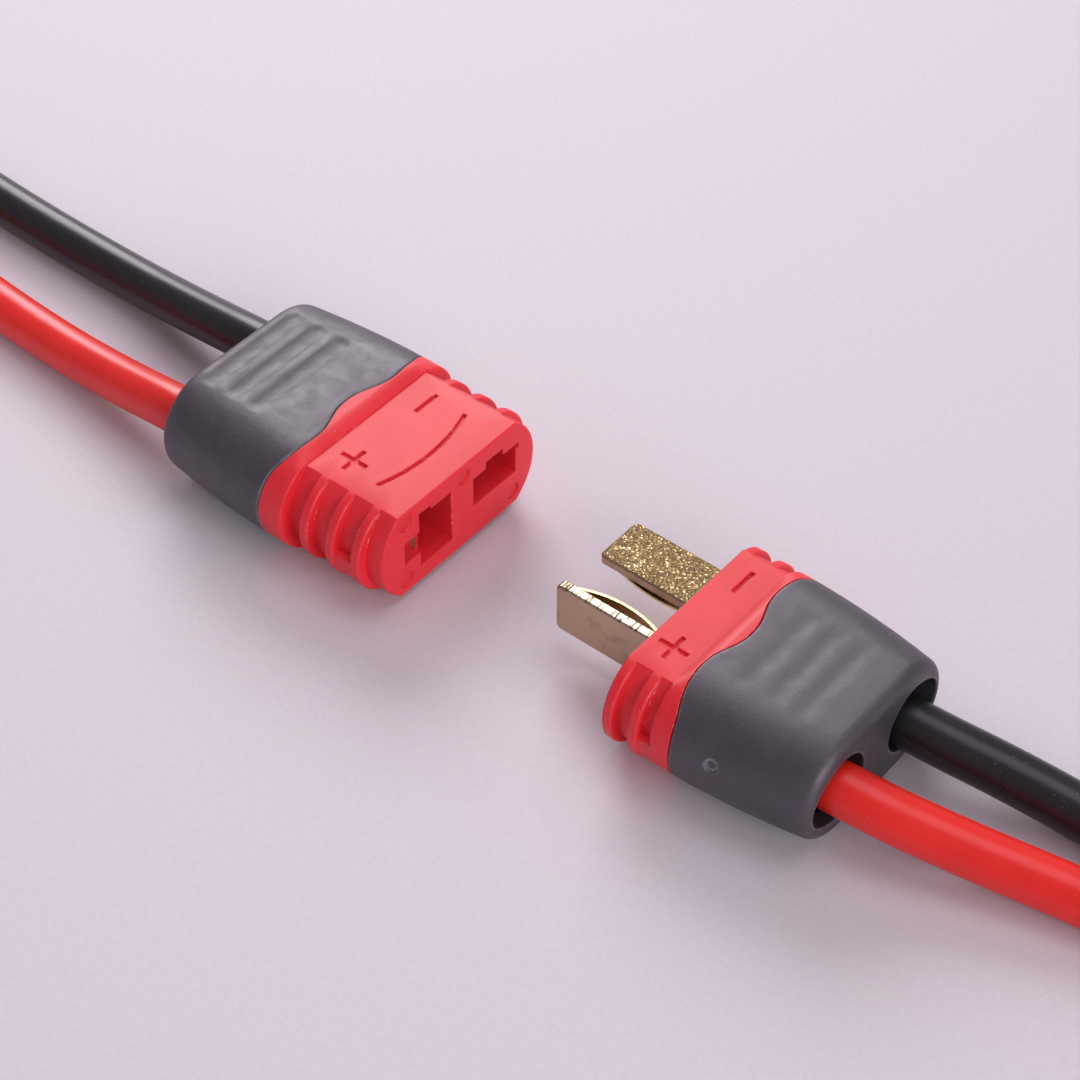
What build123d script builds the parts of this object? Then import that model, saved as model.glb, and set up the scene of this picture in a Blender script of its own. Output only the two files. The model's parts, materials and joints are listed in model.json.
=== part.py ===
from build123d import *
import os
from math import radians, tan

# Two-pole flat-blade battery connector with soft rear boots and four silicone leads.
# Millimetres, +Z up. The socket half lies on the -X side and the plug half on the +X side,
# in line and apart, ready to be pushed together. Each half is drawn by its depth behind
# its own front face. The origin is on the surface that both boots rest on.

# Overall lengths and spacing
SOCKET_LENGTH = 19.65
PLUG_LENGTH = 14.4
FACE_GAP = 18.4

# Section of the moulded bodies: flat top and bottom, one arc on each side
BODY_WIDTH = 15.3
BODY_HEIGHT = 7.0
BODY_SIDE = 1.8
BODY_FLAT = BODY_WIDTH - 2 * BODY_SIDE
EDGE_BREAK = 0.15

# Section of the boots, which the collars are flush with: flat top and bottom, half ellipses
COLLAR_RISE = 0.5
BOOT_HEIGHT = BODY_HEIGHT + 2 * COLLAR_RISE
MIDDLE = BOOT_HEIGHT / 2
BOOT_SIDE = 3.2
FLAT_TRIM = 0.006
BOOT_WALL = 1.0
BOOT_REAR_WALL = 1.2
BOOT_FIT = 0.05
BOOT_REAR_ROUND = 0.8
PARTING_GAP = 0.09

# How far each boot stands out past the body's side, at the depths where it is drawn
SOCKET_BOOT_STANDS = ((7.4, 1.05), (13.0, 0.95), (SOCKET_LENGTH, 0.2))
PLUG_BOOT_STANDS = ((3.0, 0.65), (8.0, 0.45), (PLUG_LENGTH, -0.5))

# Collar and neck
SOCKET_LIP = 7.9
SOCKET_PARTING = 9.0
SOCKET_NECK_END = 13.0
PLUG_LIP = 3.4
PLUG_PARTING = 4.15
PLUG_NECK_END = 7.4
LIP_ROUND = 0.4
LIP_RAMP = 1.05
BEAD_HEIGHT = 0.25
BEAD_LENGTH = 0.7
BEAD_FROM_END = 1.2
# The parting line as (distance from the middle, how far it lies behind the parting depth)
PARTING_WAVE = ((0.0, 0.75), (1.25, 0.58), (2.5, 0.12), (3.7, -0.08), (5.0, 0.0),
                (6.1, 0.2), (7.2, 0.6), (8.4, 0.85), (10.0, 0.9))

# Side ribs
RIB_STAND = 0.75
RIB_WIDTH = BODY_WIDTH + 2 * RIB_STAND
RIB_FACET = (0.85, 0.38)
RIB_THICKNESS = 0.72
RIB_BREAK = 0.1
SOCKET_RIBS = (1.4, 3.6, 5.85)
PLUG_RIBS = (0.0, 1.9)
WEB_WIDTH = RIB_WIDTH - 0.3
WEB_HEIGHT = 3.1

# Blades and their leaf springs
BLADE_WIDTH = 3.9
BLADE_THICKNESS = 0.76
BLADE_REACH = 8.1
BLADE_TIP_ROUND = 0.45
BLADE_EDGE_BREAK = 0.12
BLADE_OFFSET = 2.0
BLADE_SIDE = 3.56
BLADE_LEVEL = MIDDLE + 0.46
TAIL_WIDTH = 3.2
SPRING_THICKNESS = 0.18
SPRING_WIDTH = 3.1
SPRING_BOW = 0.98
SPRING_TIP = 7.8
SPRING_WELD = 0.7
SPRING_LANDING = 0.35
SPRING_SEAT = 1.4

# Contacts in the socket, and the clearances between the halves when mated
CONTACT_THICKNESS = 0.9
CONTACT_START = 1.2
CONTACT_LEAD_IN = 0.3
CONTACT_LUG = 1.4
CONTACT_LUG_WIDTH = 1.5
CONTACT_LUG_LENGTH = 2.2
TOUCH_CLEARANCE = 0.05
SLOT_CLEARANCE = 0.22
SLOT_SPRING_ROOM = 0.22
SLOT_END_ROOM = 0.5

# Mouths in front of the contacts, measured outwards from the blade's contact face
UPRIGHT_MOUTH = 1.19
UPRIGHT_CHANNEL = 2.65
UPRIGHT_CHANNEL_WIDTH = 1.9
FLAT_MOUTH = 0.45
FLAT_CHANNEL = 1.04
FLAT_CHANNEL_WIDTH = 1.75
MOUTH_STEP = 0.32

# Leads
WIRE_DIAMETER = 3.4
CORE_DIAMETER = 1.9
CORE_SEAT = 0.02
SOCKET_HOLE_SPACING = 8.3
PLUG_HOLE_SPACING = 7.9
WIRE_HOLE_DIAMETER = 5.3
TAIL_REACH = 2.8
INSULATION_START = 3.0
STRAIGHT_PAST_BOOT = 0.6
CORE_START = 0.3
STRIPPED_LENGTH = 6.0
STRIPPED_BREAK = 0.2
SOLDER_LENGTH = 2.1
SOLDER_OVER = 0.42
SOLDER_ROUND = 0.3

# Marks
MARK_DEPTH = 0.18
MARK_STROKE = 0.34
MARK_LENGTH = 2.15
MARK_SIDE = 3.55
SOCKET_MARK_AT = 5.85
PLUG_MARK_AT = 1.7
ARC_HALF_WIDTH = 4.35
ARC_ENDS_AT = 3.15
ARC_CREST_AT = 2.42
PIN_MARK_DIAMETER = 1.25
PIN_MARK_DEPTH = 0.12

# Grip hollows across the boots: (depth behind the face, width, length, how deep)
SOCKET_GRIPS = tuple((depth, 1.5, 9.3, 0.16) for depth in (13.85, 15.9, 17.95))
PLUG_GRIPS = tuple((depth, 1.1, 5.6, 0.07) for depth in (7.6, 9.2, 10.8))
GATE_MARK_AT = 7.9
GATE_MARK_LEVEL = MIDDLE + 1.2
GATE_MARK_DIAMETER = 0.95
GATE_MARK_DEPTH = 0.12

SOCKET_FACE = SOCKET_LENGTH - (SOCKET_LENGTH + FACE_GAP + PLUG_LENGTH) / 2
PLUG_FACE = SOCKET_FACE + FACE_GAP

# Each lead's route after its straight start: points chosen by hand along its axis
SOCKET_POSITIVE_ROUTE = (
    (-33.8, -4.15, 2.6), (-41.5, -3.6, 1.7), (-51.0, -3.0, 1.7), (-61.5, -1.7, 1.7),
    (-73.0, 0.3, 1.7), (-85.5, 2.3, 1.7), (-97.0, 3.6, 1.7), (-108.5, 4.1, 1.7),
    (-119.5, 3.8, 1.7))
SOCKET_NEGATIVE_ROUTE = (
    (-34.2, 4.25, 2.9), (-42.5, 4.95, 1.7), (-52.5, 5.0, 1.7), (-63.5, 5.6, 1.7),
    (-75.0, 7.0, 1.7), (-87.0, 8.6, 1.7), (-98.5, 9.5, 1.7), (-109.5, 9.9, 1.7),
    (-119.5, 9.8, 1.7))
PLUG_POSITIVE_ROUTE = (
    (33.0, -1.9, 2.6), (40.5, 0.15, 1.7), (49.0, 1.2, 1.7), (59.0, 1.7, 1.7),
    (70.0, 1.6, 1.7), (82.0, 0.5, 1.7), (95.0, -1.1, 1.7), (107.5, -2.2, 1.7),
    (118.5, -2.6, 1.7))
PLUG_NEGATIVE_ROUTE = (
    (33.5, 5.1, 2.3), (41.5, 5.6, 1.7), (52.0, 6.5, 1.7), (64.5, 7.1, 1.7),
    (77.5, 6.9, 1.7), (91.0, 6.0, 1.7), (104.5, 5.3, 1.7), (118.0, 5.2, 1.7))


class Half:
    """One half of the connector, drawn by depth behind its front face."""

    def __init__(self, face, back, length, lip, parting, neck_end, stands, hole_spacing):
        self.face, self.back, self.length = face, back, length
        self.lip, self.parting, self.neck_end = lip, parting, neck_end
        self.stands, self.hole_spacing = stands, hole_spacing

    def x(self, depth):
        return self.face + self.back * depth

    def plane(self, depth):
        """The cross-section plane at a depth: first axis +Y, second axis +Z, from the middle."""
        return Plane(origin=(self.x(depth), 0, MIDDLE), x_dir=(0, 1, 0), z_dir=(1, 0, 0))

    def slab(self, outline, start, end):
        """An outline drawn out from one depth to another."""
        first, last = sorted((start, end), key=self.x)
        return extrude(self.plane(first) * outline, self.x(last) - self.x(first))

    def box(self, start, end, low_y, high_y, low_z, high_z):
        x0, x1 = sorted((self.x(start), self.x(end)))
        corner = Pos((x0 + x1) / 2, (low_y + high_y) / 2, (low_z + high_z) / 2)
        return corner * Box(x1 - x0, high_y - low_y, high_z - low_z)

    def rod(self, start, end, y, z, radius):
        x0, x1 = sorted((self.x(start), self.x(end)))
        return Pos((x0 + x1) / 2, y, z) * Rot(0, 90, 0) * Cylinder(radius, x1 - x0)


SOCKET = Half(SOCKET_FACE, -1, SOCKET_LENGTH, SOCKET_LIP, SOCKET_PARTING,
              SOCKET_NECK_END, SOCKET_BOOT_STANDS, SOCKET_HOLE_SPACING)
PLUG = Half(PLUG_FACE, 1, PLUG_LENGTH, PLUG_LIP, PLUG_PARTING, PLUG_NECK_END,
            PLUG_BOOT_STANDS, PLUG_HOLE_SPACING)


def arc_sided(width, flat, height):
    """Flat top and bottom, and one arc on each side."""
    w, f, h = width / 2, flat / 2, height / 2
    edges = [
        Line((-f, h), (f, h)), ThreePointArc((f, h), (w, 0), (f, -h)),
        Line((f, -h), (-f, -h)), ThreePointArc((-f, -h), (-w, 0), (-f, h))]
    return make_face(edges)


def rib_outline(width):
    """As the body's section, with a small facet at the end of each flat."""
    w, f, h = width / 2, BODY_FLAT / 2, BODY_HEIGHT / 2
    out, down = f + RIB_FACET[0], h - RIB_FACET[1]
    edges = [
        Line((-f, h), (f, h)), Line((f, h), (out, down)),
        ThreePointArc((out, down), (w, 0), (out, -down)), Line((out, -down), (f, -h)),
        Line((f, -h), (-f, -h)), Line((-f, -h), (-out, -down)),
        ThreePointArc((-out, -down), (-w, 0), (-out, down)), Line((-out, down), (-f, h))]
    return make_face(edges)


def soft_sided(width, height, side):
    """Flat top and bottom, and half an ellipse on each side, tangent to the flats."""
    f, h = width / 2 - side, height / 2
    edges = [
        Line((-f, h), (f, h)),
        EllipticalCenterArc((f, 0), side, h, -90, arc_size=180),
        Line((f, -h), (-f, -h)),
        EllipticalCenterArc((-f, 0), side, h, 90, arc_size=180)]
    return make_face(edges)


def boot_form(half, inset=0.0):
    """The tapered form that the boot and collar share, drawn in by an inset all round."""
    height = BOOT_HEIGHT - 2 * inset
    sections = [
        half.plane(depth) * soft_sided(BODY_WIDTH + 2 * (stand - inset), height + FLAT_TRIM,
                                       BOOT_SIDE - inset)
        for depth, stand in half.stands]
    return loft(sections) & half.box(0, half.length, -BODY_WIDTH, BODY_WIDTH,
                                     MIDDLE - height / 2, MIDDLE + height / 2)


def ahead_of_parting(half, shift=0.0):
    """Everything ahead of the wavy parting line between collar and boot."""
    mirrored = [(-y, back) for y, back in PARTING_WAVE[:0:-1]]
    line = [(half.x(half.parting + back + shift), y) for y, back in (*mirrored, *PARTING_WAVE)]
    front = half.x(-2 * BLADE_REACH)
    (x0, y0), (x1, y1) = line[0], line[-1]
    outline = [Spline(*line), Polyline((x1, y1), (front, y1), (front, y0), (x0, y0))]
    return Pos(0, 0, -BOOT_HEIGHT) * extrude(make_face(outline), 3 * BOOT_HEIGHT)


def end_face(solid, x):
    """The solid's face that lies nearest to x."""
    return min(solid.faces(), key=lambda f: abs(f.center().X - x))


def rounded_ends(solid, x, radius):
    """The solid with the outline of its end face at x rounded."""
    return fillet(end_face(solid, x).edges(), radius)


def collar(half):
    """The raised ring that the boot butts against, flush with it and rounded in front."""
    deepest = half.parting + max(back for _, back in PARTING_WAVE) + 1
    ring = boot_form(half) & half.box(half.lip, deepest, -BODY_WIDTH, BODY_WIDTH,
                                      -BOOT_HEIGHT, 2 * BOOT_HEIGHT)
    ring = rounded_ends(ring, half.x(half.lip), LIP_ROUND)
    return (ring & ahead_of_parting(half, -PARTING_GAP / 2)) - ramps(half)


def ramps(half):
    """What is cut off the collar, so that it slopes up from the flats."""
    low, high = BODY_HEIGHT / 2, BOOT_HEIGHT / 2
    made = []
    for side in (-1, 1):
        corners = [(half.x(depth), MIDDLE + side * level) for depth, level in (
            (half.lip - 0.1, low), (half.lip + LIP_RAMP, high), (half.lip + LIP_RAMP, high + 1),
            (half.lip - 0.1, high + 1))]
        plane = Plane(origin=(0, -BODY_WIDTH, 0), x_dir=(1, 0, 0), z_dir=(0, -1, 0))
        made.append(extrude(plane * make_face(Polyline(*corners, close=True)),
                            -2 * BODY_WIDTH))
    return made


def neck(half):
    """The plug-in neck behind the collar, with the bead that holds the boot."""
    reach = (-BODY_WIDTH, BODY_WIDTH, -BOOT_HEIGHT, 2 * BOOT_HEIGHT)
    bead_end = half.neck_end - BEAD_FROM_END
    inset = BOOT_WALL + BOOT_FIT
    core = boot_form(half, inset) & half.box(half.lip, half.neck_end, *reach)
    bead = boot_form(half, inset - BEAD_HEIGHT) & half.box(
        bead_end - BEAD_LENGTH, bead_end, *reach)
    return core + bead


def ribs(half, starts):
    """Side ribs, flush with the flats and standing out at the sides."""
    outline = rib_outline(RIB_WIDTH)
    made = []
    for start in starts:
        rib = half.slab(outline, start, start + RIB_THICKNESS)
        for depth in (start, start + RIB_THICKNESS):
            arcs = end_face(rib, half.x(depth)).edges().filter_by(GeomType.CIRCLE)
            rib = chamfer(arcs, RIB_BREAK)
        made.append(rib)
    return made


def web(half, start, end):
    """The block that joins two ribs on the positive side, below the middle."""
    block = half.slab(rib_outline(WEB_WIDTH), start, end)
    return block & half.box(start, end, -WEB_WIDTH, -BODY_FLAT / 2,
                            MIDDLE - WEB_HEIGHT, MIDDLE)


def bar_mark(half, depth, y, along_x, along_y):
    """A sunk bar on the top flat."""
    top = MIDDLE + BODY_HEIGHT / 2
    bar = extrude(Rectangle(along_x, along_y), 2 * MARK_DEPTH)
    return Pos(half.x(depth), y, top - MARK_DEPTH) * bar


def polarity_marks(half, depth):
    """A plus over the positive pole and a minus over the negative one."""
    return [
        bar_mark(half, depth, -MARK_SIDE, MARK_LENGTH, MARK_STROKE),
        bar_mark(half, depth, -MARK_SIDE, MARK_STROKE, MARK_LENGTH),
        bar_mark(half, depth, MARK_SIDE, MARK_STROKE, MARK_LENGTH)]


def arc_mark(half):
    """The shallow arc groove between the marks and the socket's face."""
    crest, ends = half.x(ARC_CREST_AT), half.x(ARC_ENDS_AT)
    path = ThreePointArc((ends, -ARC_HALF_WIDTH), (crest, 0), (ends, ARC_HALF_WIDTH))
    outer = ThreePointArc(*[path @ t + (MARK_STROKE / 2, 0) for t in (0, 0.5, 1)])
    inner = ThreePointArc(*[path @ t - (MARK_STROKE / 2, 0) for t in (0, 0.5, 1)])
    sketch = make_face([outer, inner, Line(outer @ 0, inner @ 0), Line(outer @ 1, inner @ 1)])
    top = MIDDLE + BODY_HEIGHT / 2
    return Pos(0, 0, top - MARK_DEPTH) * extrude(sketch, 2 * MARK_DEPTH)


def pin_marks(half):
    """Round ejector marks in the socket's face."""
    low, high = -BODY_HEIGHT / 3, BODY_HEIGHT / 2.7
    places = ((-5.25, high), (0.45, high), (-5.3, low), (5.4, low))
    return [half.rod(-1, PIN_MARK_DEPTH, y, MIDDLE + z, PIN_MARK_DIAMETER / 2)
            for y, z in places]


def strip(half, outline, width, upright):
    """A formed strip: an outline in depth and offset, drawn out across its width.

    An upright strip has its offset along Y, and a flat one along Z. Both outlines are
    given in the row's own coordinates, and the strip is centred on its pole.
    """
    points = [(half.x(depth), offset) for depth, offset in outline]
    if upright:
        face = make_face(Polyline(*points, close=True))
        return Pos(0, 0, MIDDLE - width / 2) * extrude(face, width)
    plane = Plane(origin=(0, BLADE_SIDE - width / 2, 0), x_dir=(1, 0, 0), z_dir=(0, -1, 0))
    return extrude(plane * make_face(Polyline(*points, close=True)), -width)


def blade_range(upright):
    """The blade's two faces: (the one that meets the contact, the one under its spring)."""
    if upright:
        return -BLADE_OFFSET - BLADE_THICKNESS, -BLADE_OFFSET
    return BLADE_LEVEL + BLADE_THICKNESS, BLADE_LEVEL


def outward(upright):
    """+1 or -1: the direction from the blade to its contact."""
    return -1 if upright else 1


def contact_faces(upright):
    """The contact's two faces: (the one that meets the blade, its back)."""
    out = outward(upright)
    face = blade_range(upright)[0] + out * TOUCH_CLEARANCE
    return face, face + out * CONTACT_THICKNESS


def contact(upright):
    """A flat plate that runs through the housing to its solder tail."""
    out = outward(upright)
    face, back = contact_faces(upright)
    end = SOCKET_NECK_END
    plate = strip(SOCKET, [
        (CONTACT_START + CONTACT_LEAD_IN, face), (end, face), (end, back),
        (CONTACT_START, back), (CONTACT_START, face + out * CONTACT_LEAD_IN)],
        BLADE_WIDTH, upright)
    tail = strip(SOCKET, [(end, face), (end + TAIL_REACH, face), (end + TAIL_REACH, back),
                          (end, back)], TAIL_WIDTH, upright)
    if not upright:
        return plate + tail
    lug_end, lug = CONTACT_START + CONTACT_LUG_LENGTH, back + out * CONTACT_LUG
    return plate + tail + strip(
        SOCKET, [(CONTACT_START, back), (lug_end, back), (lug_end, lug), (CONTACT_START, lug)],
        CONTACT_LUG_WIDTH, upright)


def slot_box(upright, end, near, far, low_side, high_side):
    """A cut from the socket's face: near and far as offsets, the sides from the pole."""
    low, high = sorted((near, far))
    if upright:
        return SOCKET.box(-1, end, low, high, MIDDLE + low_side, MIDDLE + high_side)
    return SOCKET.box(-1, end, BLADE_SIDE + low_side, BLADE_SIDE + high_side, low, high)


def blade_slot(upright):
    """The room that the blade and its leaf spring slide in, open at the face."""
    out = outward(upright)
    face, sprung = blade_range(upright)
    half_width = BLADE_WIDTH / 2 + SLOT_CLEARANCE
    return slot_box(upright, BLADE_REACH + SLOT_END_ROOM, face + out * TOUCH_CLEARANCE,
                    sprung - out * (SPRING_BOW + SLOT_SPRING_ROOM), -half_width, half_width)


def mouth(upright):
    """The stepped entry in front of a contact, with its middle channel."""
    out = outward(upright)
    face = blade_range(upright)[0]
    reach = UPRIGHT_MOUTH if upright else FLAT_MOUTH
    channel = UPRIGHT_CHANNEL if upright else FLAT_CHANNEL
    channel_width = UPRIGHT_CHANNEL_WIDTH if upright else FLAT_CHANNEL_WIDTH
    half_width = BLADE_WIDTH / 2 + SLOT_CLEARANCE
    return [
        slot_box(upright, CONTACT_START, face, face + out * reach,
                 -half_width, half_width + MOUTH_STEP),
        slot_box(upright, CONTACT_START, face, face + out * channel,
                 -channel_width / 2, channel_width / 2)]


def blade(upright):
    """A flat blade with rounded tip corners and a narrower solder tail."""
    face, sprung = blade_range(upright)
    end = PLUG_NECK_END + TAIL_REACH
    outline = [(-BLADE_REACH, face), (PLUG_NECK_END, face), (PLUG_NECK_END, sprung),
               (-BLADE_REACH, sprung)]
    body = strip(PLUG, outline, BLADE_WIDTH, upright)
    tip_x = PLUG.x(-BLADE_REACH)
    across = Axis.Y if upright else Axis.Z
    corners = [e for e in body.edges().filter_by(across) if abs(e.center().X - tip_x) < 1e-6]
    body = fillet(corners, BLADE_TIP_ROUND)
    tip = min(body.faces(), key=lambda f: f.center().X)
    body = chamfer(tip.edges().filter_by(Axis.Z if upright else Axis.Y), BLADE_EDGE_BREAK)
    tail = strip(PLUG, [(PLUG_NECK_END, face), (end, face), (end, sprung),
                        (PLUG_NECK_END, sprung)], TAIL_WIDTH, upright)
    return body + tail


def spring(upright):
    """A bowed leaf: welded flat at the blade's tip, free to slide in the housing."""
    out = outward(upright)
    sprung = blade_range(upright)[1]

    def at(depth, rise):
        return (PLUG.x(depth), sprung - out * rise)

    weld_end, landing = -SPRING_TIP + SPRING_WELD, -SPRING_LANDING
    crest = (weld_end + landing) / 2
    t = SPRING_THICKNESS
    edges = [
        Line(at(-SPRING_TIP, 0), at(weld_end, 0)),
        ThreePointArc(at(weld_end, 0), at(crest, SPRING_BOW - t), at(landing, 0)),
        Line(at(landing, 0), at(SPRING_SEAT, 0)),
        Line(at(SPRING_SEAT, 0), at(SPRING_SEAT, t)),
        Line(at(SPRING_SEAT, t), at(landing + t / 2, t)),
        ThreePointArc(at(landing + t / 2, t), at(crest, SPRING_BOW), at(weld_end - t / 2, t)),
        Line(at(weld_end - t / 2, t), at(-SPRING_TIP, t)),
        Line(at(-SPRING_TIP, t), at(-SPRING_TIP, 0))]
    if upright:
        return Pos(0, 0, MIDDLE - SPRING_WIDTH / 2) * extrude(make_face(edges), SPRING_WIDTH)
    plane = Plane(origin=(0, BLADE_SIDE - SPRING_WIDTH / 2, 0), x_dir=(1, 0, 0),
                  z_dir=(0, -1, 0))
    return extrude(plane * make_face(edges), -SPRING_WIDTH)


def spring_seat(upright):
    """The slit in the plug's face that the leaf's loose end slides in."""
    out = outward(upright)
    sprung = blade_range(upright)[1]
    depth = SPRING_SEAT + BOOT_WALL
    low, high = sorted((sprung, sprung - out * (SPRING_THICKNESS + TOUCH_CLEARANCE)))
    half_width = SPRING_WIDTH / 2 + SLOT_CLEARANCE
    if upright:
        return PLUG.box(-1, depth, low, high, MIDDLE - half_width, MIDDLE + half_width)
    return PLUG.box(-1, depth, BLADE_SIDE - half_width, BLADE_SIDE + half_width, low, high)


def housing(half, rib_starts, web_span):
    """The moulded body without its slots: core, ribs, web, collar and neck."""
    core = half.slab(arc_sided(BODY_WIDTH, BODY_FLAT, BODY_HEIGHT), 0, half.lip + LIP_ROUND)
    if rib_starts[0] > 0:
        core = rounded_ends(core, half.x(0), EDGE_BREAK)
    body = core + ribs(half, rib_starts) + web(half, *web_span)
    return body + collar(half) + neck(half)


def socket_housing(contacts):
    web_span = (SOCKET_RIBS[0] + RIB_THICKNESS / 2, SOCKET_RIBS[1] + RIB_THICKNESS / 2)
    body = housing(SOCKET, SOCKET_RIBS, web_span)
    cuts = [blade_slot(upright) for upright in (True, False)]
    for upright in (True, False):
        cuts += mouth(upright)
    cuts += polarity_marks(SOCKET, SOCKET_MARK_AT) + [arc_mark(SOCKET)] + pin_marks(SOCKET)
    return body - cuts - contacts


def plug_housing(blades):
    web_span = (PLUG_RIBS[-1] + RIB_THICKNESS / 2, PLUG_LIP + LIP_ROUND)
    body = housing(PLUG, PLUG_RIBS, web_span)
    seats = [spring_seat(upright) for upright in (True, False)]
    return body - seats - polarity_marks(PLUG, PLUG_MARK_AT) - blades


def grip(half, side, depth, width, length, sink):
    """One shallow hollow across the boot, on its top (side +1) or underside (side -1)."""
    radius = (width ** 2 / 4 + sink ** 2) / (2 * sink)
    straight = (length - width) / 2
    bar = Rot(90, 0, 0) * Cylinder(radius, 2 * straight)
    ends = [Pos(0, s * straight, 0) * Sphere(radius) for s in (-1, 1)]
    level = MIDDLE + side * (BOOT_HEIGHT / 2 + radius - sink)
    return Pos(half.x(depth), 0, level) * (bar + ends)


def gate_mark(half):
    """The small round mark that the mould leaves in the plug boot's near side."""
    ray = Axis((half.x(GATE_MARK_AT), -2 * BODY_WIDTH, GATE_MARK_LEVEL), (0, 1, 0))
    side, out = min(boot_form(half).find_intersection_points(ray), key=lambda hit: hit[0].Y)
    sunk = Plane(origin=side - out * GATE_MARK_DEPTH, z_dir=out)
    return extrude(sunk * Circle(GATE_MARK_DIAMETER / 2), 1)


def boot(half, grips, marks=()):
    """The soft hollow cap over the neck, with a hole for each lead."""
    reach = (-BODY_WIDTH, BODY_WIDTH, -BOOT_HEIGHT, 2 * BOOT_HEIGHT)
    shell = rounded_ends(boot_form(half), half.x(half.length), BOOT_REAR_ROUND)
    shell -= ahead_of_parting(half, PARTING_GAP / 2)
    shell -= boot_form(half, BOOT_WALL) & half.box(0, half.length - BOOT_REAR_WALL, *reach)
    bead_end = half.neck_end - BEAD_FROM_END
    shell -= boot_form(half, BOOT_WALL - BEAD_HEIGHT) & half.box(
        bead_end - BEAD_LENGTH - BOOT_FIT, bead_end + BOOT_FIT, *reach)
    holes = [half.rod(half.length - 2 * BOOT_REAR_WALL, half.length + 1,
                      s * half.hole_spacing / 2, MIDDLE, WIRE_HOLE_DIAMETER / 2)
             for s in (-1, 1)]
    hollows = [grip(half, side, *sizes) for sizes in grips for side in (-1, 1)]
    return shell - holes - hollows - list(marks)


def core_place(half, upright):
    """Where a core lies on its tail, as (y, z): outside an upright tail, under a flat one."""
    seat = CORE_DIAMETER / 2 + CORE_SEAT
    if upright:
        outer = contact_faces(True)[1] if half is SOCKET else blade_range(True)[0]
        return outer - seat, MIDDLE
    under = contact_faces(False)[0] if half is SOCKET else blade_range(False)[1]
    return BLADE_SIDE, under - seat


def core(half, upright):
    """The stripped core that lies on the solder tail."""
    start = half.neck_end + CORE_START
    end = half.neck_end + INSULATION_START
    return half.rod(start, end, *core_place(half, upright), CORE_DIAMETER / 2)


def solder(half, upright, tail, wire_core):
    """Solder drawn up round the core and wetted onto the tail."""
    start = half.neck_end + CORE_START + 0.2
    radius = CORE_DIAMETER / 2 + SOLDER_OVER
    blob = half.rod(start, start + SOLDER_LENGTH, *core_place(half, upright), radius)
    blob = fillet(blob.edges(), SOLDER_ROUND)
    return blob - tail - wire_core


def route_points(half, upright, route):
    place = core_place(half, upright)
    first = (half.x(half.neck_end + INSULATION_START), *place)
    outside = (half.x(half.length + STRAIGHT_PAST_BOOT), *place)
    return [Vector(*p) for p in (first, outside, *route)]


def corner_radii(points):
    """One radius for each corner: as large as its two runs allow."""
    radii = []
    for before, here, after in zip(points, points[1:], points[2:]):
        turn = (here - before).get_angle(after - here)
        shorter = min((here - before).length, (after - here).length)
        radii.append(0.45 * shorter / tan(radians(turn) / 2))
    return radii


def lead(name, points):
    """The insulated lead along its route, with its length printed."""
    radii = corner_radii(points)
    path = FilletPolyline(*points, radius=radii)
    start = Plane(origin=path @ 0, z_dir=path % 0)
    tube = sweep(start * Circle(WIRE_DIAMETER / 2), path=path)
    expected = Circle(WIRE_DIAMETER / 2).area * path.length
    print(name, "length", round(path.length, 2), "radii", [round(r) for r in radii],
          "volume ratio", round(tube.volume / expected, 5))
    return tube


def stripped_end(points):
    """The bare tinned end of the core past the insulation."""
    direction = (points[-1] - points[-2]).normalized()
    place = Plane(origin=points[-1], z_dir=direction)
    rod = extrude(place * Circle(CORE_DIAMETER / 2), STRIPPED_LENGTH)
    far = max(rod.faces(), key=lambda f: f.center().dot(direction))
    return chamfer(far.edges(), STRIPPED_BREAK)


def build():
    contacts = {True: contact(True), False: contact(False)}
    blades = {True: blade(True), False: blade(False)}
    nodes = {
        "socket_housing": socket_housing(list(contacts.values())),
        "socket_boot": boot(SOCKET, SOCKET_GRIPS),
        "plug_housing": plug_housing(list(blades.values())),
        "plug_boot": boot(PLUG, PLUG_GRIPS, [gate_mark(PLUG)])}
    routes = {
        (True, True): SOCKET_POSITIVE_ROUTE, (True, False): SOCKET_NEGATIVE_ROUTE,
        (False, True): PLUG_POSITIVE_ROUTE, (False, False): PLUG_NEGATIVE_ROUTE}
    for in_socket, half, side in ((True, SOCKET, "socket"), (False, PLUG, "plug")):
        for upright, pole in ((True, "positive"), (False, "negative")):
            tail = contacts[upright] if in_socket else blades[upright]
            wire_core = core(half, upright)
            points = route_points(half, upright, routes[in_socket, upright])
            nodes[f"{side}_contact_{pole}" if in_socket else f"{side}_blade_{pole}"] = tail
            if not in_socket:
                nodes[f"{side}_spring_{pole}"] = spring(upright)
            nodes[f"{side}_core_{pole}"] = wire_core
            nodes[f"{side}_solder_{pole}"] = solder(half, upright, tail, wire_core)
            nodes[f"{side}_lead_{pole}"] = lead(f"{side}_lead_{pole}", points)
            nodes[f"{side}_lead_tip_{pole}"] = stripped_end(points)
    return nodes


os.makedirs("parts", exist_ok=True)
for name, solid in build().items():
    export_step(solid, f"parts/{name}.step")
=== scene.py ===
"""Looks for the two-pole blade connector: camera, materials, rounder forms, leads, floor, light."""
import json
import random
from math import cos, exp, pi, radians, sin, sqrt

import bmesh
import bpy
from mathutils import Matrix, Vector


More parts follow.
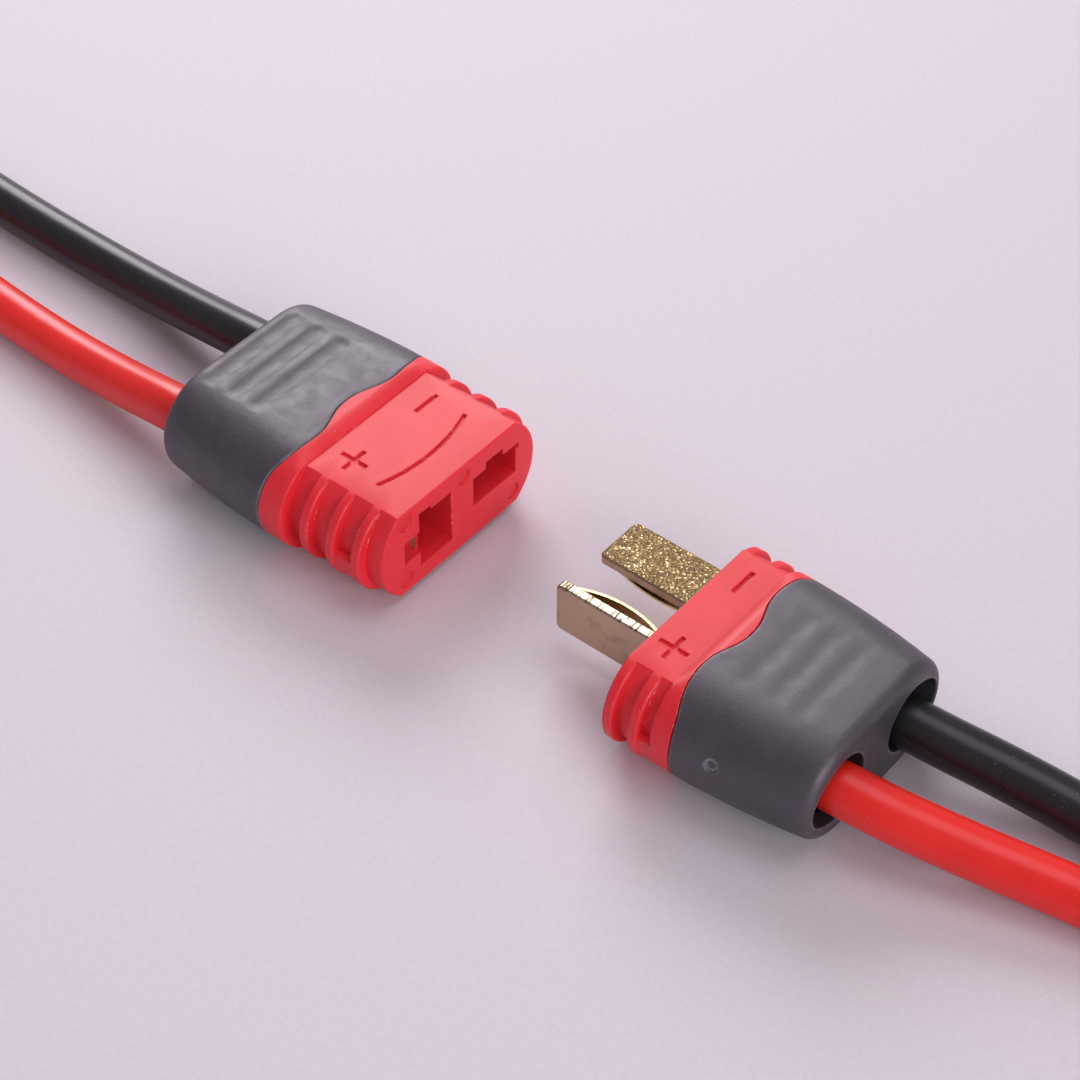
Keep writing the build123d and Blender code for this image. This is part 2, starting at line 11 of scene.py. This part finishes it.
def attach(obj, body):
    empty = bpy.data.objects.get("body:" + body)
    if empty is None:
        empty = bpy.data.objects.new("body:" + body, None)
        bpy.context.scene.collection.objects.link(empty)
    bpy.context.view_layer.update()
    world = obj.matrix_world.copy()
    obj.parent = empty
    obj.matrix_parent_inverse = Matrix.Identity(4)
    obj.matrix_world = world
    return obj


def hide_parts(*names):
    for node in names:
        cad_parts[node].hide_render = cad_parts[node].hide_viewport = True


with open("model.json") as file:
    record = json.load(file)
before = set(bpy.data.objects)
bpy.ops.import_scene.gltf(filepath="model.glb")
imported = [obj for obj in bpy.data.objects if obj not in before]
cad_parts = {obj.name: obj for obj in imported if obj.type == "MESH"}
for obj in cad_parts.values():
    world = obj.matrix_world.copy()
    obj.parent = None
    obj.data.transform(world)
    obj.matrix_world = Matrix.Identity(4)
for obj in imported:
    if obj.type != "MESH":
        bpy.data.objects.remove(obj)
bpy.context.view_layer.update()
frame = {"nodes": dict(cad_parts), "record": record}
nodes = frame["nodes"]

MM = 0.001


def linked(name, data):
    """A new object with that data, in the scene."""
    made = bpy.data.objects.new(name, data)
    bpy.context.scene.collection.objects.link(made)
    return made


# Camera: the point that it looks at, and where it stands from there
LOOK_AT = Vector((-2.937, 3.863, 0.5)) * MM
AZIMUTH, ELEVATION, ROLL = radians(39.1), radians(45.0), radians(0.235)
BACK = Vector((sin(AZIMUTH) * cos(ELEVATION), -cos(AZIMUTH) * cos(ELEVATION), sin(ELEVATION)))
DISTANCE = 177.76 * MM
LENS = 89.17
SENSOR = 36.0


def add_camera():
    data = bpy.data.cameras.new("camera")
    data.sensor_width = SENSOR
    data.lens = LENS
    data.clip_start, data.clip_end = 0.01, 10.0
    camera = linked("camera", data)
    right = Vector((0, 0, 1)).cross(BACK).normalized()
    up = BACK.cross(right)
    right, up = (right * cos(ROLL) + up * sin(ROLL), up * cos(ROLL) - right * sin(ROLL))
    turn = Matrix((right, up, BACK)).transposed().to_4x4()
    camera.matrix_world = Matrix.Translation(LOOK_AT + BACK * DISTANCE) @ turn
    bpy.context.scene.camera = camera


add_camera()
bpy.context.scene.view_settings.view_transform = "Standard"


class Nodes:
    """Short calls for building a node material. Scales are per mm, and radii are in mm."""

    def __init__(self, name):
        self.material = bpy.data.materials.new(name)
        self.material.use_nodes = True
        self.tree = self.material.node_tree
        self.shader = self.tree.nodes["Principled BSDF"]
        self.coords = self.tree.nodes.new("ShaderNodeTexCoord").outputs["Object"]

    def node(self, kind, inputs=None, **settings):
        made = self.tree.nodes.new(kind)
        for key, value in settings.items():
            setattr(made, key, value)
        for key, value in (inputs or {}).items():
            self.set(made.inputs[key], value)
        return made

    def set(self, socket, value):
        if isinstance(value, bpy.types.NodeSocket):
            self.tree.links.new(value, socket)
        else:
            socket.default_value = value

    def shade(self, **values):
        for key, value in values.items():
            self.set(self.shader.inputs[key.replace("_", " ")], value)

    def noise(self, per_mm, detail=2.0, roughness=0.5, vector=None):
        return self.node("ShaderNodeTexNoise", {
            "Vector": vector or self.coords, "Scale": per_mm / MM, "Detail": detail,
            "Roughness": roughness}).outputs["Fac"]

    def speckle(self, per_mm, radius):
        """1 inside small round specks, 0 elsewhere."""
        cells = self.node("ShaderNodeTexVoronoi", {"Vector": self.coords, "Scale": per_mm / MM})
        return self.ramp(cells.outputs["Distance"], ((radius * 0.6, 1.0), (radius, 0.0)))

    def ramp(self, factor, stops):
        """A ramp over (position, value) or (position, colour) stops."""
        made = self.node("ShaderNodeValToRGB", {"Fac": factor})
        elements = made.color_ramp.elements
        while len(elements) < len(stops):
            elements.new(0.5)
        for element, (place, value) in zip(elements, stops):
            element.position = place
            element.color = (value,) * 3 + (1,) if isinstance(value, float) else (*value, 1)
        return made.outputs["Color"]

    def mix(self, factor, a, b):
        made = self.node("ShaderNodeMix", data_type="RGBA")
        self.set(made.inputs["Factor"], factor)
        for socket, colour in ((6, a), (7, b)):
            self.set(made.inputs[socket], (*colour, 1) if isinstance(colour, tuple) else colour)
        return made.outputs[2]

    def math(self, operation, a, b=0.0):
        made = self.node("ShaderNodeMath", operation=operation)
        self.set(made.inputs[0], a)
        self.set(made.inputs[1], b)
        return made.outputs[0]

    def times(self, *factors):
        """The factors multiplied together."""
        product = factors[0]
        for factor in factors[1:]:
            product = self.math("MULTIPLY", product, factor)
        return product

    def stretch(self, x, y, z):
        return self.node("ShaderNodeMapping", {
            "Vector": self.coords, "Scale": (x, y, z)}).outputs[0]

    def soft_edges(self, radius):
        """The normal with sharp edges rounded in the shading, and 1 along those edges."""
        soft = self.node("ShaderNodeBevel", {"Radius": radius * MM}, samples=6).outputs[0]
        own = self.node("ShaderNodeNewGeometry").outputs["Normal"]
        along = self.node("ShaderNodeVectorMath", {0: soft, 1: own}, operation="DOT_PRODUCT")
        return soft, self.ramp(along.outputs["Value"], ((0.86, 1.0), (0.985, 0.0)))

    def ring(self, centre, inner, outer):
        """1 midway between two distances from a point, 0 nearer and farther."""
        away = self.node("ShaderNodeVectorMath", {
            0: self.coords, 1: Vector(centre) * MM}, operation="DISTANCE").outputs["Value"]
        middle = (inner + outer) / 2
        return self.ramp(self.math("MULTIPLY", away, 1 / MM),
                         ((inner, 0.0), (middle, 1.0), (outer, 0.0)))

    def bump(self, height, strength, distance, under=None):
        inputs = {"Height": height, "Strength": strength, "Distance": distance * MM}
        if under:
            inputs["Normal"] = under
        return self.node("ShaderNodeBump", inputs).outputs["Normal"]


NYLON, NYLON_PALE = (0.77, 0.018, 0.030), (0.85, 0.026, 0.042)
# Pale wear for the scuffs, and a painted highlight colour for sharp edges
SCUFF, PAINTED_EDGE_HIGHLIGHT = (0.9, 0.45, 0.42), (0.92, 0.62, 0.55)
RUBBER, RUBBER_PALE = (0.037, 0.033, 0.042), (0.050, 0.045, 0.057)
# Pale dust for the rubber, also painted as the highlight ring round the gate mark, and a painted
# highlight colour for sharp edges
RUBBER_DUST_AND_HIGHLIGHT, RUBBER_EDGE_HIGHLIGHT = (0.3, 0.29, 0.32), (0.30, 0.27, 0.31)
# The gate mark's place, and the radii of the painted highlight ring round it
GATE_MARK, GATE_HIGHLIGHT_RING = (19.725, -8.02, 5.2), (0.30, 0.52)
GOLD, GOLD_STAIN = (0.55, 0.40, 0.27), (0.33, 0.23, 0.15)
# Gold with a y below this is the upright blade, where the faces up or down are thin edges
THIN_EDGE_SIDE = -1.9 * MM


def housing_material():
    """Red nylon: fine moulded grain, a few scuffs, and pale specks along some edges as a painted
    edge highlight.
    """
    n = Nodes("housing_nylon")
    soft, edge = n.soft_edges(0.12)
    colour = n.ramp(n.noise(0.35, 3), ((0.3, NYLON), (0.7, NYLON_PALE)))
    patch = n.ramp(n.noise(0.12, 2), ((0.52, 0.0), (0.62, 1.0)))
    # Pale specks along sharp edges, in patches: a painted edge highlight
    edge_highlight_specks = n.ramp(n.noise(3.2, 4, 0.7), ((0.57, 0.0), (0.63, 1.0)))
    edge_highlight_patches = n.ramp(n.noise(0.25, 2), ((0.46, 0.0), (0.56, 1.0)))
    colour = n.mix(n.times(n.speckle(1.6, 0.09), patch, 0.5), colour, SCUFF)
    colour = n.mix(n.times(edge_highlight_specks, edge_highlight_patches, edge), colour, PAINTED_EDGE_HIGHLIGHT)
    grain = n.bump(n.noise(9.0, 3, 0.6), 0.35, 0.02, soft)
    coarse = n.bump(n.noise(2.4, 2), 0.12, 0.05, grain)
    n.shade(Base_Color=colour, Roughness=0.45, Normal=coarse, Subsurface_Weight=0.25,
            Subsurface_Radius=(1.0, 0.25, 0.2), Subsurface_Scale=0.6 * MM,
            Specular_IOR_Level=0.45)
    return n.material


def boot_material():
    """Grey rubber: mottled sheen, pale specks, a painted highlight along the sharp edges, and a
    painted highlight ring round the gate mark.
    """
    n = Nodes("boot_rubber")
    soft, edge = n.soft_edges(0.3)
    colour = n.ramp(n.noise(0.5, 4, 0.6), ((0.3, RUBBER), (0.7, RUBBER_PALE)))
    specks = n.math("MAXIMUM", n.speckle(3.5, 0.11), n.speckle(7.5, 0.16))
    colour = n.mix(n.times(specks, 0.3), colour, RUBBER_DUST_AND_HIGHLIGHT)
    # Lighter along sharp edges: a painted highlight
    painted_edge_highlight = n.times(edge, n.ramp(n.noise(1.5, 3), ((0.4, 0.35), (0.65, 0.9))))
    colour = n.mix(painted_edge_highlight, colour, RUBBER_EDGE_HIGHLIGHT)
    # A lighter ring round the gate mark: a painted highlight on its rim
    colour = n.mix(n.times(n.ring(GATE_MARK, *GATE_HIGHLIGHT_RING), 0.5), colour, RUBBER_DUST_AND_HIGHLIGHT)
    grain = n.bump(n.noise(7.0, 3, 0.65), 0.5, 0.03, soft)
    wavy = n.bump(n.noise(0.7, 3), 0.1, 0.12, grain)
    rough = n.ramp(n.noise(0.9, 4, 0.65), ((0.3, 0.42), (0.7, 0.56)))
    n.shade(Base_Color=colour, Roughness=rough, Normal=wavy, Specular_IOR_Level=0.9,
            Specular_Tint=(1.0, 0.86, 0.98, 1))
    return n.material


def gold_material():
    """Plating: painted darker shade with painted glints on faces up or down, smooth on upright
    ones, painted glinting ticks on thin edges.
    """
    n = Nodes("gold_plate")
    normal = n.node("ShaderNodeNewGeometry").outputs["True Normal"]
    facing = n.node("ShaderNodeSeparateXYZ", {"Vector": normal}).outputs["Z"]
    flat = n.ramp(n.math("ABSOLUTE", facing), ((0.6, 0.0), (0.85, 1.0)))
    side = n.node("ShaderNodeSeparateXYZ", {"Vector": n.coords}).outputs["Y"]
    thin = n.times(flat, n.math("LESS_THAN", side, THIN_EDGE_SIDE))
    smooth = n.mix(n.ramp(n.noise(0.5, 3), ((0.55, 0.0), (0.75, 1.0))), GOLD, GOLD_STAIN)
    cells = n.node("ShaderNodeTexVoronoi", {"Vector": n.coords, "Scale": 9.5 / MM})
    tone = n.node("ShaderNodeSeparateColor", {"Color": cells.outputs["Color"]}).outputs["Red"]
    # Faces up or down: the dark cells are painted shade and the brightest are painted glints
    painted_shade_and_glints = n.ramp(tone, ((0.0, (0.075, 0.046, 0.022)), (0.6, (0.145, 0.092, 0.043)),
                           (0.9, (0.30, 0.20, 0.09)), (1.0, (0.80, 0.64, 0.40))))
    ticks = n.noise(5.0, 3, 0.7, n.stretch(1.0, 0.12, 0.12))
    # Thin edges: the bright ticks are painted highlights
    painted_edge_glints = n.ramp(ticks, ((0.40, (0.16, 0.11, 0.07)), (0.50, (0.72, 0.62, 0.48)),
                            (0.62, (1.0, 0.95, 0.85))))
    colour = n.mix(thin, n.mix(flat, smooth, painted_shade_and_glints), painted_edge_glints)
    grains = n.bump(n.times(n.noise(6.5, 4, 0.7), flat), 0.9, 0.05)
    streaks = n.noise(2.0, 3, 0.6, n.stretch(0.12, 1.0, 1.0))
    rough = n.mix(flat, (0.36, 0.36, 0.36), (0.40, 0.40, 0.40))
    n.shade(Base_Color=colour, Metallic=1.0, Roughness=rough,
            Normal=n.bump(streaks, 0.15, 0.03, grains))
    return n.material


def metal_material(name, colour, roughness):
    n = Nodes(name)
    grains = n.noise(5.0, 3)
    n.shade(Base_Color=(*colour, 1), Metallic=1.0, Normal=n.bump(grains, 0.3, 0.02),
            Roughness=n.ramp(grains, ((0.3, roughness - 0.08), (0.7, roughness + 0.1))))
    return n.material


def silicone_material(name, colour, dust, dust_amount):
    n = Nodes(name)
    specks = n.math("MAXIMUM", n.speckle(1.9, 0.07), n.speckle(4.3, 0.08))
    patch = n.ramp(n.noise(0.1, 2), ((0.4, 0.25), (0.62, 1.0)))
    haze = n.ramp(n.noise(0.3, 3), ((0.35, tuple(c * 0.92 for c in colour)), (0.7, colour)))
    n.shade(Base_Color=n.mix(n.times(specks, patch, dust_amount), haze, dust), Roughness=0.32,
            Normal=n.bump(n.noise(1.2, 2), 0.08, 0.05), Specular_IOR_Level=0.5,
            Specular_Tint=(1.0, 0.88, 1.0, 1))
    return n.material


LOOKS = {
    "housing_nylon": housing_material(),
    "boot_rubber": boot_material(),
    "gold_plate": gold_material(),
    "spring_metal": metal_material("spring_metal", (0.82, 0.64, 0.34), 0.3),
    "solder": metal_material("solder", (0.62, 0.63, 0.65), 0.35),
    "tinned_copper": metal_material("tinned_copper", (0.74, 0.71, 0.66), 0.35),
    "red_silicone": silicone_material(
        "red_silicone", (0.86, 0.022, 0.014), (0.9, 0.5, 0.45), 0.35),
    "black_silicone": silicone_material(
        "black_silicone", (0.012, 0.012, 0.014), (0.4, 0.4, 0.42), 0.5),
}

for row in frame["record"]["subparts"]:
    node_mesh = nodes[row["node"]].data
    node_mesh.materials.clear()
    node_mesh.materials.append(LOOKS[row["material_slot"]])


# Rounder boots and collars, in mm: copies of four nodes, with the boot form's sides redrawn
# as deeper half ellipses. Depths are measured from each half's face towards its rear, and
# heights from the middle of the body.
MIDDLE = 4.0
SIDE_BEFORE, SIDE_AFTER = 3.2, 4.2
# Per half: its face along x, the direction to its rear, the depths of the collar's lip and
# of the parting of collar and boot, and three (depth, width) pairs of the boot's form
FORMS = {
    "socket": dict(face=-6.575, back=-1, lip=7.9, parting=9.0,
                   widths=((7.4, 17.4), (13.0, 17.2), (19.65, 15.7))),
    "plug": dict(face=11.825, back=1, lip=3.4, parting=4.15,
                 widths=((3.0, 16.6), (8.0, 16.2), (14.4, 14.3))),
}
# The body's section that the collar stands on, and how long the swell up from it is
BODY_HALF, FLAT_HALF, BODY_RISE = 7.65, 5.85, 3.5
SWELL = 1.05
# The neck is scaled from this far ahead of the parting depth, and what stands above the
# body's section is collar until this far behind it
NECK_AHEAD, COLLAR_BEHIND = 0.15, 1.0
# Where the solids' grip hollows are: first depth, last depth, and how deep they can be
GRIPS = {"plug_boot": (5.5, 12.5, 0.12), "socket_boot": (12.5, 18.75, 0.2)}
# The plug boot gets longer and softer hollows: their depths, width, length, how far they
# sink in and how far their ends fade. The socket's keep GRIP_SHARE of how deep they are.
SOFT_GRIPS = dict(depths=(6.9, 8.9, 10.9), width=1.25, length=8.2, sink=0.055, fade=1.2)
GRIP_SHARE = 0.8
# Where the copies are cut finer, so that their flats have points to bend at
ACROSS_CUTS = [0.4 * i for i in range(-21, 22)]
GRIP_CUTS = [5.4 + 0.3 * i for i in range(25)]
SWELL_CUTS = 5
SHARP_ANGLE = radians(28)
# Margins for points on the lip, faces behind it, the body's section and the form's side
ON_LIP, BEHIND_LIP, ON_BODY, AT_SIDE = 0.001, 0.01, 1e-4, 0.02
# In metres: how near points are welded, and how near they are on a cut
WELDED, ON_CUT = 1e-7, 1e-8


def width_at(depth, widths):
    """The boot form's width at a depth: one smooth curve through its three pairs."""
    total = 0.0
    for i, (d, w) in enumerate(widths):
        for j, (other, _) in enumerate(widths):
            if j != i:
                w *= (depth - other) / (d - other)
        total += w
    return total


def fullness(inward, side):
    """How high the section is at a distance in from its side, as a share of its full height."""
    return sqrt(1 - max(0.0, 1 - max(inward, AT_SIDE) / side) ** 2)


def body_height(across):
    """Half the body's height at a distance from its middle: flat, then one arc."""
    if across < FLAT_HALF:
        return BODY_RISE
    bulge = BODY_HALF - FLAT_HALF
    radius = (bulge ** 2 + BODY_RISE ** 2) / (2 * bulge)
    off = across - (BODY_HALF - radius)
    return sqrt(max(0.0, radius ** 2 - off ** 2))


def collar_height(depth, y, height, before, after, form):
    """A housing point's height, where the collar swells smoothly from the body's section."""
    body = body_height(abs(y))
    if height > body + ON_BODY and depth < form["parting"] + COLLAR_BEHIND:
        share = min(1.0, (height - body) / (MIDDLE * before - body))
        if depth < form["lip"] + SWELL:
            share = sin(share * pi / 2)
        return body + share * (MIDDLE * after - body)
    return height * (after / before if depth > form["parting"] - NECK_AHEAD else 1)


def soft_grip(depth, y):
    """How deep the soft hollows are at a depth and place across."""
    reach = SOFT_GRIPS["length"] / 2
    ends = min(1.0, max(0.0, (reach - abs(y)) / SOFT_GRIPS["fade"]))
    ends = ends * ends * (3 - 2 * ends)
    half_width = SOFT_GRIPS["width"] / 2
    waves = (exp(-((depth - at) / half_width) ** 2) for at in SOFT_GRIPS["depths"])
    return SOFT_GRIPS["sink"] * ends * sum(waves)


def gripped(node, depth, y, surface, height):
    """A boot point's height, with the grip hollows in its outside redrawn."""
    first, last, deepest = GRIPS[node]
    sunk = surface - height
    if not (first < depth < last and 0 <= sunk < deepest):
        return height
    return surface - (soft_grip(depth, y) if node == "plug_boot" else GRIP_SHARE * sunk)


def cut_finer(made, form, with_grips):
    """Cuts the copy behind its lip, across and where it is about to bend."""
    depths = GRIP_CUTS if with_grips else [
        form["lip"] + SWELL * i / SWELL_CUTS for i in range(SWELL_CUTS + 1)]
    cuts = [((0, y, 0), (0, 1, 0)) for y in ACROSS_CUTS]
    cuts += [((form["face"] + form["back"] * depth, 0, 0), (1, 0, 0)) for depth in depths]
    behind = [face for face in made.faces if all(
        (v.co.x / MM - form["face"]) * form["back"] > form["lip"] - BEHIND_LIP
        for v in face.verts)]
    edges = dict.fromkeys(edge for face in behind for edge in face.edges)
    verts = dict.fromkeys(vert for face in behind for vert in face.verts)
    touched = [*verts, *edges, *behind]
    for place, normal in cuts:
        touched = bmesh.ops.bisect_plane(
            made, geom=touched, plane_co=Vector(place) * MM, plane_no=normal,
            dist=ON_CUT)["geom"]


def redraw(made, node, form):
    """Moves the copy's points up or down onto the rounder form."""
    for vertex in made.verts:
        x, y, z = vertex.co / MM
        depth = (x - form["face"]) * form["back"]
        if depth < form["lip"] - ON_LIP:
            continue
        inward = width_at(depth, form["widths"]) / 2 - abs(y)
        before, after = fullness(inward, SIDE_BEFORE), fullness(inward, SIDE_AFTER)
        height = abs(z - MIDDLE)
        if node.endswith("housing"):
            height = collar_height(depth, y, height, before, after, form)
        else:
            height = gripped(node, depth, y, MIDDLE * before, height) * (after / before)
        vertex.co.z = (MIDDLE + (height if z > MIDDLE else -height)) * MM


def add_rounded(node, half, slot):
    """A copy of a node with the boot form's sides rounder, which stands for it."""
    made = bmesh.new()
    made.from_mesh(nodes[node].data)
    bmesh.ops.remove_doubles(made, verts=made.verts, dist=WELDED)
    cut_finer(made, FORMS[half], node == "plug_boot")
    redraw(made, node, FORMS[half])
    mesh = bpy.data.meshes.new(f"{node}_rounded")
    made.to_mesh(mesh)
    made.free()
    for stale in ("custom_normal", "sharp_edge", "sharp_face"):
        if stale in mesh.attributes:
            mesh.attributes.remove(mesh.attributes[stale])
    mesh.shade_smooth()
    mesh.set_sharp_from_angle(angle=SHARP_ANGLE)
    mesh.materials.append(LOOKS[slot])
    copy = linked(f"{node}_rounded", mesh)
    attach(copy, half)
    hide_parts(node)


for half_name in FORMS:
    add_rounded(f"{half_name}_housing", half_name, "housing_nylon")
    add_rounded(f"{half_name}_boot", half_name, "boot_rubber")


# Leads: their routes' points in mm, and the twisted strands at their bare ends
WIRE_RADIUS = 1.7 * MM
TIP_LENGTH = 6.0 * MM
STRAND_RADIUS = 0.19 * MM
STRAND_RINGS = ((6, 0.38 * MM), (12, 0.745 * MM))
STRAND_LAY = 16.0 * MM
STRAND_SPREAD = 0.25 * MM
STRAND_SPLAY = 0.05
STRAND_TUCK = 0.3 * MM
STRAND_STEPS, STRAND_SIDES = 12, 8
STRAND_END = 0.72
LEADS = {
    "socket_lead_positive": dict(exit_x=-26.225, length=97.6, route=(
        (-22.575, -4.68, 4.0), (-26.825, -4.68, 4.0), (-33.8, -4.15, 2.6), (-41.5, -3.6, 1.7),
        (-51.0, -3.0, 1.7), (-61.5, -1.7, 1.7), (-73.0, 0.3, 1.7), (-85.5, 2.3, 1.7),
        (-97.0, 3.6, 1.7), (-108.5, 4.1, 1.7), (-119.5, 3.8, 1.7))),
    "socket_lead_negative": dict(exit_x=-26.225, length=97.4, route=(
        (-22.575, 3.56, 4.3), (-26.825, 3.56, 4.3), (-34.2, 4.25, 2.9), (-42.5, 4.95, 1.7),
        (-52.5, 5.0, 1.7), (-63.5, 5.6, 1.7), (-75.0, 7.0, 1.7), (-87.0, 8.6, 1.7),
        (-98.5, 9.5, 1.7), (-109.5, 9.9, 1.7), (-119.5, 9.8, 1.7))),
    "plug_lead_positive": dict(exit_x=26.225, length=97.2, route=(
        (22.225, -3.73, 4.0), (26.825, -3.73, 4.0), (33.0, -1.9, 2.6), (40.5, 0.15, 1.7),
        (49.0, 1.2, 1.7), (59.0, 1.7, 1.7), (70.0, 1.6, 1.7), (82.0, 0.5, 1.7),
        (95.0, -1.1, 1.7), (107.5, -2.2, 1.7), (118.5, -2.6, 1.7))),
    "plug_lead_negative": dict(exit_x=26.225, length=96.1, route=(
        (22.225, 3.56, 3.49), (26.825, 3.56, 3.49), (33.5, 5.1, 2.3), (41.5, 5.6, 1.7),
        (52.0, 6.5, 1.7), (64.5, 7.1, 1.7), (77.5, 6.9, 1.7), (91.0, 6.0, 1.7),
        (104.5, 5.3, 1.7), (118.0, 5.2, 1.7))),
}


def strand_places():
    """Angle and distance from the core's axis of each strand: one, six, and twelve."""
    places = [(0.0, 0.0)]
    for count, radius in STRAND_RINGS:
        places += [(2 * pi * i / count, radius) for i in range(count)]
    return places


def add_strand(made, end, axes, angle, radius, luck):
    """One strand that winds round the core's axis, with its end slightly drawn in."""
    direction, across, up = axes
    reach = TIP_LENGTH - luck.uniform(0.0, STRAND_SPREAD)
    splay = luck.uniform(0.0, STRAND_SPLAY) * MM
    rings = []
    for step in range(STRAND_STEPS + 1):
        along = step / STRAND_STEPS * (reach + STRAND_TUCK) - STRAND_TUCK
        turned = angle + 2 * pi * along / STRAND_LAY
        off = radius - splay * (1 - step / STRAND_STEPS)
        centre = end + direction * along + (across * cos(turned) + up * sin(turned)) * off
        fine = STRAND_RADIUS * (STRAND_END if step == STRAND_STEPS else 1.0)
        rings.append([
            made.verts.new(centre + (across * cos(a) + up * sin(a)) * fine)
            for a in (2 * pi * i / STRAND_SIDES for i in range(STRAND_SIDES))])
    for first, second in zip(rings, rings[1:]):
        for i in range(STRAND_SIDES):
            j = (i + 1) % STRAND_SIDES
            made.faces.new((first[i], first[j], second[j], second[i]))
    made.faces.new(rings[0][::-1])
    made.faces.new(rings[-1])


def add_tip(name, end, direction, half):
    """The twisted, tinned strands past the insulation, in place of the plain CAD rod."""
    luck = random.Random(name)
    across = direction.cross(Vector((0, 0, 1))).normalized()
    axes = (direction, across, across.cross(direction))
    made = bmesh.new()
    for angle, radius in strand_places():
        add_strand(made, end, axes, angle, radius, luck)
    mesh = bpy.data.meshes.new(f"{name}_strands")
    bmesh.ops.recalc_face_normals(made, faces=made.faces)
    made.to_mesh(mesh)
    made.free()
    mesh.shade_smooth()
    mesh.materials.append(LOOKS["tinned_copper"])
    tip = linked(f"{name}_strands", mesh)
    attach(tip, half)
    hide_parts(name)
    return tip


def add_lead(name, exit_x, length, route):
    """One insulated lead along its route, with its bare end."""
    half, _, pole = name.split("_")
    data = bpy.data.curves.new(f"{name}_skin", "CURVE")
    data.dimensions = "3D"
    spline = data.splines.new("NURBS")
    spline.points.add(len(route) - 1)
    for point, place in zip(spline.points, route):
        point.co = (*[c * MM for c in place], 1)
    spline.order_u = 3
    spline.use_endpoint_u = True
    data.resolution_u = 24
    data.bevel_depth = WIRE_RADIUS
    data.bevel_resolution = 12
    data.use_fill_caps = True
    lead = linked(f"{name}_skin", data)
    slot = f"{'red' if pole == 'positive' else 'black'}_silicone"
    data.materials.append(LOOKS[slot])
    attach(lead, half)
    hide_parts(name)
    end, before = (Vector(route[i]) * MM for i in (-1, -2))
    tip = add_tip(f"{half}_lead_tip_{pole}", end, (end - before).normalized(), half)


for lead_name, facts in LEADS.items():
    add_lead(lead_name, **facts)


# Floor and light, in metres
FLOOR, FLOOR_PALE = (0.640, 0.568, 0.640), (0.665, 0.592, 0.665)
FLOOR_REACH = 2.0
FLOOR_LEVEL = -0.02 * MM
GLOW_FROM, GLOW_FULL, FAR_GLOW = 0.25, 0.95, 0.62
# Each lamp's place, the point it aims at, its size, and its power
LAMPS = {
    "soft_box_back": ((-0.42, 0.40, 0.36), (-0.02, 0, 0), (0.4, 0.3), 3.1),
    "soft_box_top": ((0.05, 0.12, 0.6), (0, 0, 0), (0.45, 0.35), 0.9),
    "soft_box_side": ((1.0, -0.32, 0.48), (0, 0, 0.004), (0.7, 0.5), 6.8),
}
WORLD_COLOUR, WORLD_STRENGTH = (0.97, 0.93, 1.0, 1), 0.30


def floor_material():
    """A pale floor that stays pale, as the camera sees it, beyond the reach of the lamps."""
    n = Nodes("floor")
    colour = n.ramp(n.noise(2.5, 2), ((0.35, FLOOR), (0.65, FLOOR_PALE)))
    far = n.node("ShaderNodeVectorMath", {0: n.coords}, operation="LENGTH").outputs["Value"]
    seen = n.node("ShaderNodeLightPath").outputs["Is Camera Ray"]
    glow = n.times(n.ramp(far, ((GLOW_FROM, 0.0), (GLOW_FULL, FAR_GLOW))), seen)
    n.shade(Base_Color=colour, Roughness=0.6, Normal=n.bump(n.noise(3.0, 3), 0.15, 0.03),
            Emission_Color=colour, Emission_Strength=glow)
    return n.material


def add_floor():
    mesh = bpy.data.meshes.new("floor")
    made = bmesh.new()
    bmesh.ops.create_grid(made, x_segments=2, y_segments=2, size=FLOOR_REACH)
    made.to_mesh(mesh)
    made.free()
    mesh.materials.append(floor_material())
    floor = linked("floor", mesh)
    floor.location.z = FLOOR_LEVEL


def add_lamp(name, place, aim, size, power):
    data = bpy.data.lights.new(name, "AREA")
    data.shape = "RECTANGLE"
    data.size, data.size_y = size
    data.energy = power
    lamp = linked(name, data)
    lamp.location = place
    lamp.rotation_euler = (Vector(aim) - Vector(place)).to_track_quat("-Z", "Y").to_euler()


def add_world():
    world = bpy.data.worlds.new("world")
    world.use_nodes = True
    background = world.node_tree.nodes["Background"]
    background.inputs["Color"].default_value = WORLD_COLOUR
    background.inputs["Strength"].default_value = WORLD_STRENGTH
    bpy.context.scene.world = world


add_floor()
for lamp_name, lamp_facts in LAMPS.items():
    add_lamp(lamp_name, *lamp_facts)
add_world()
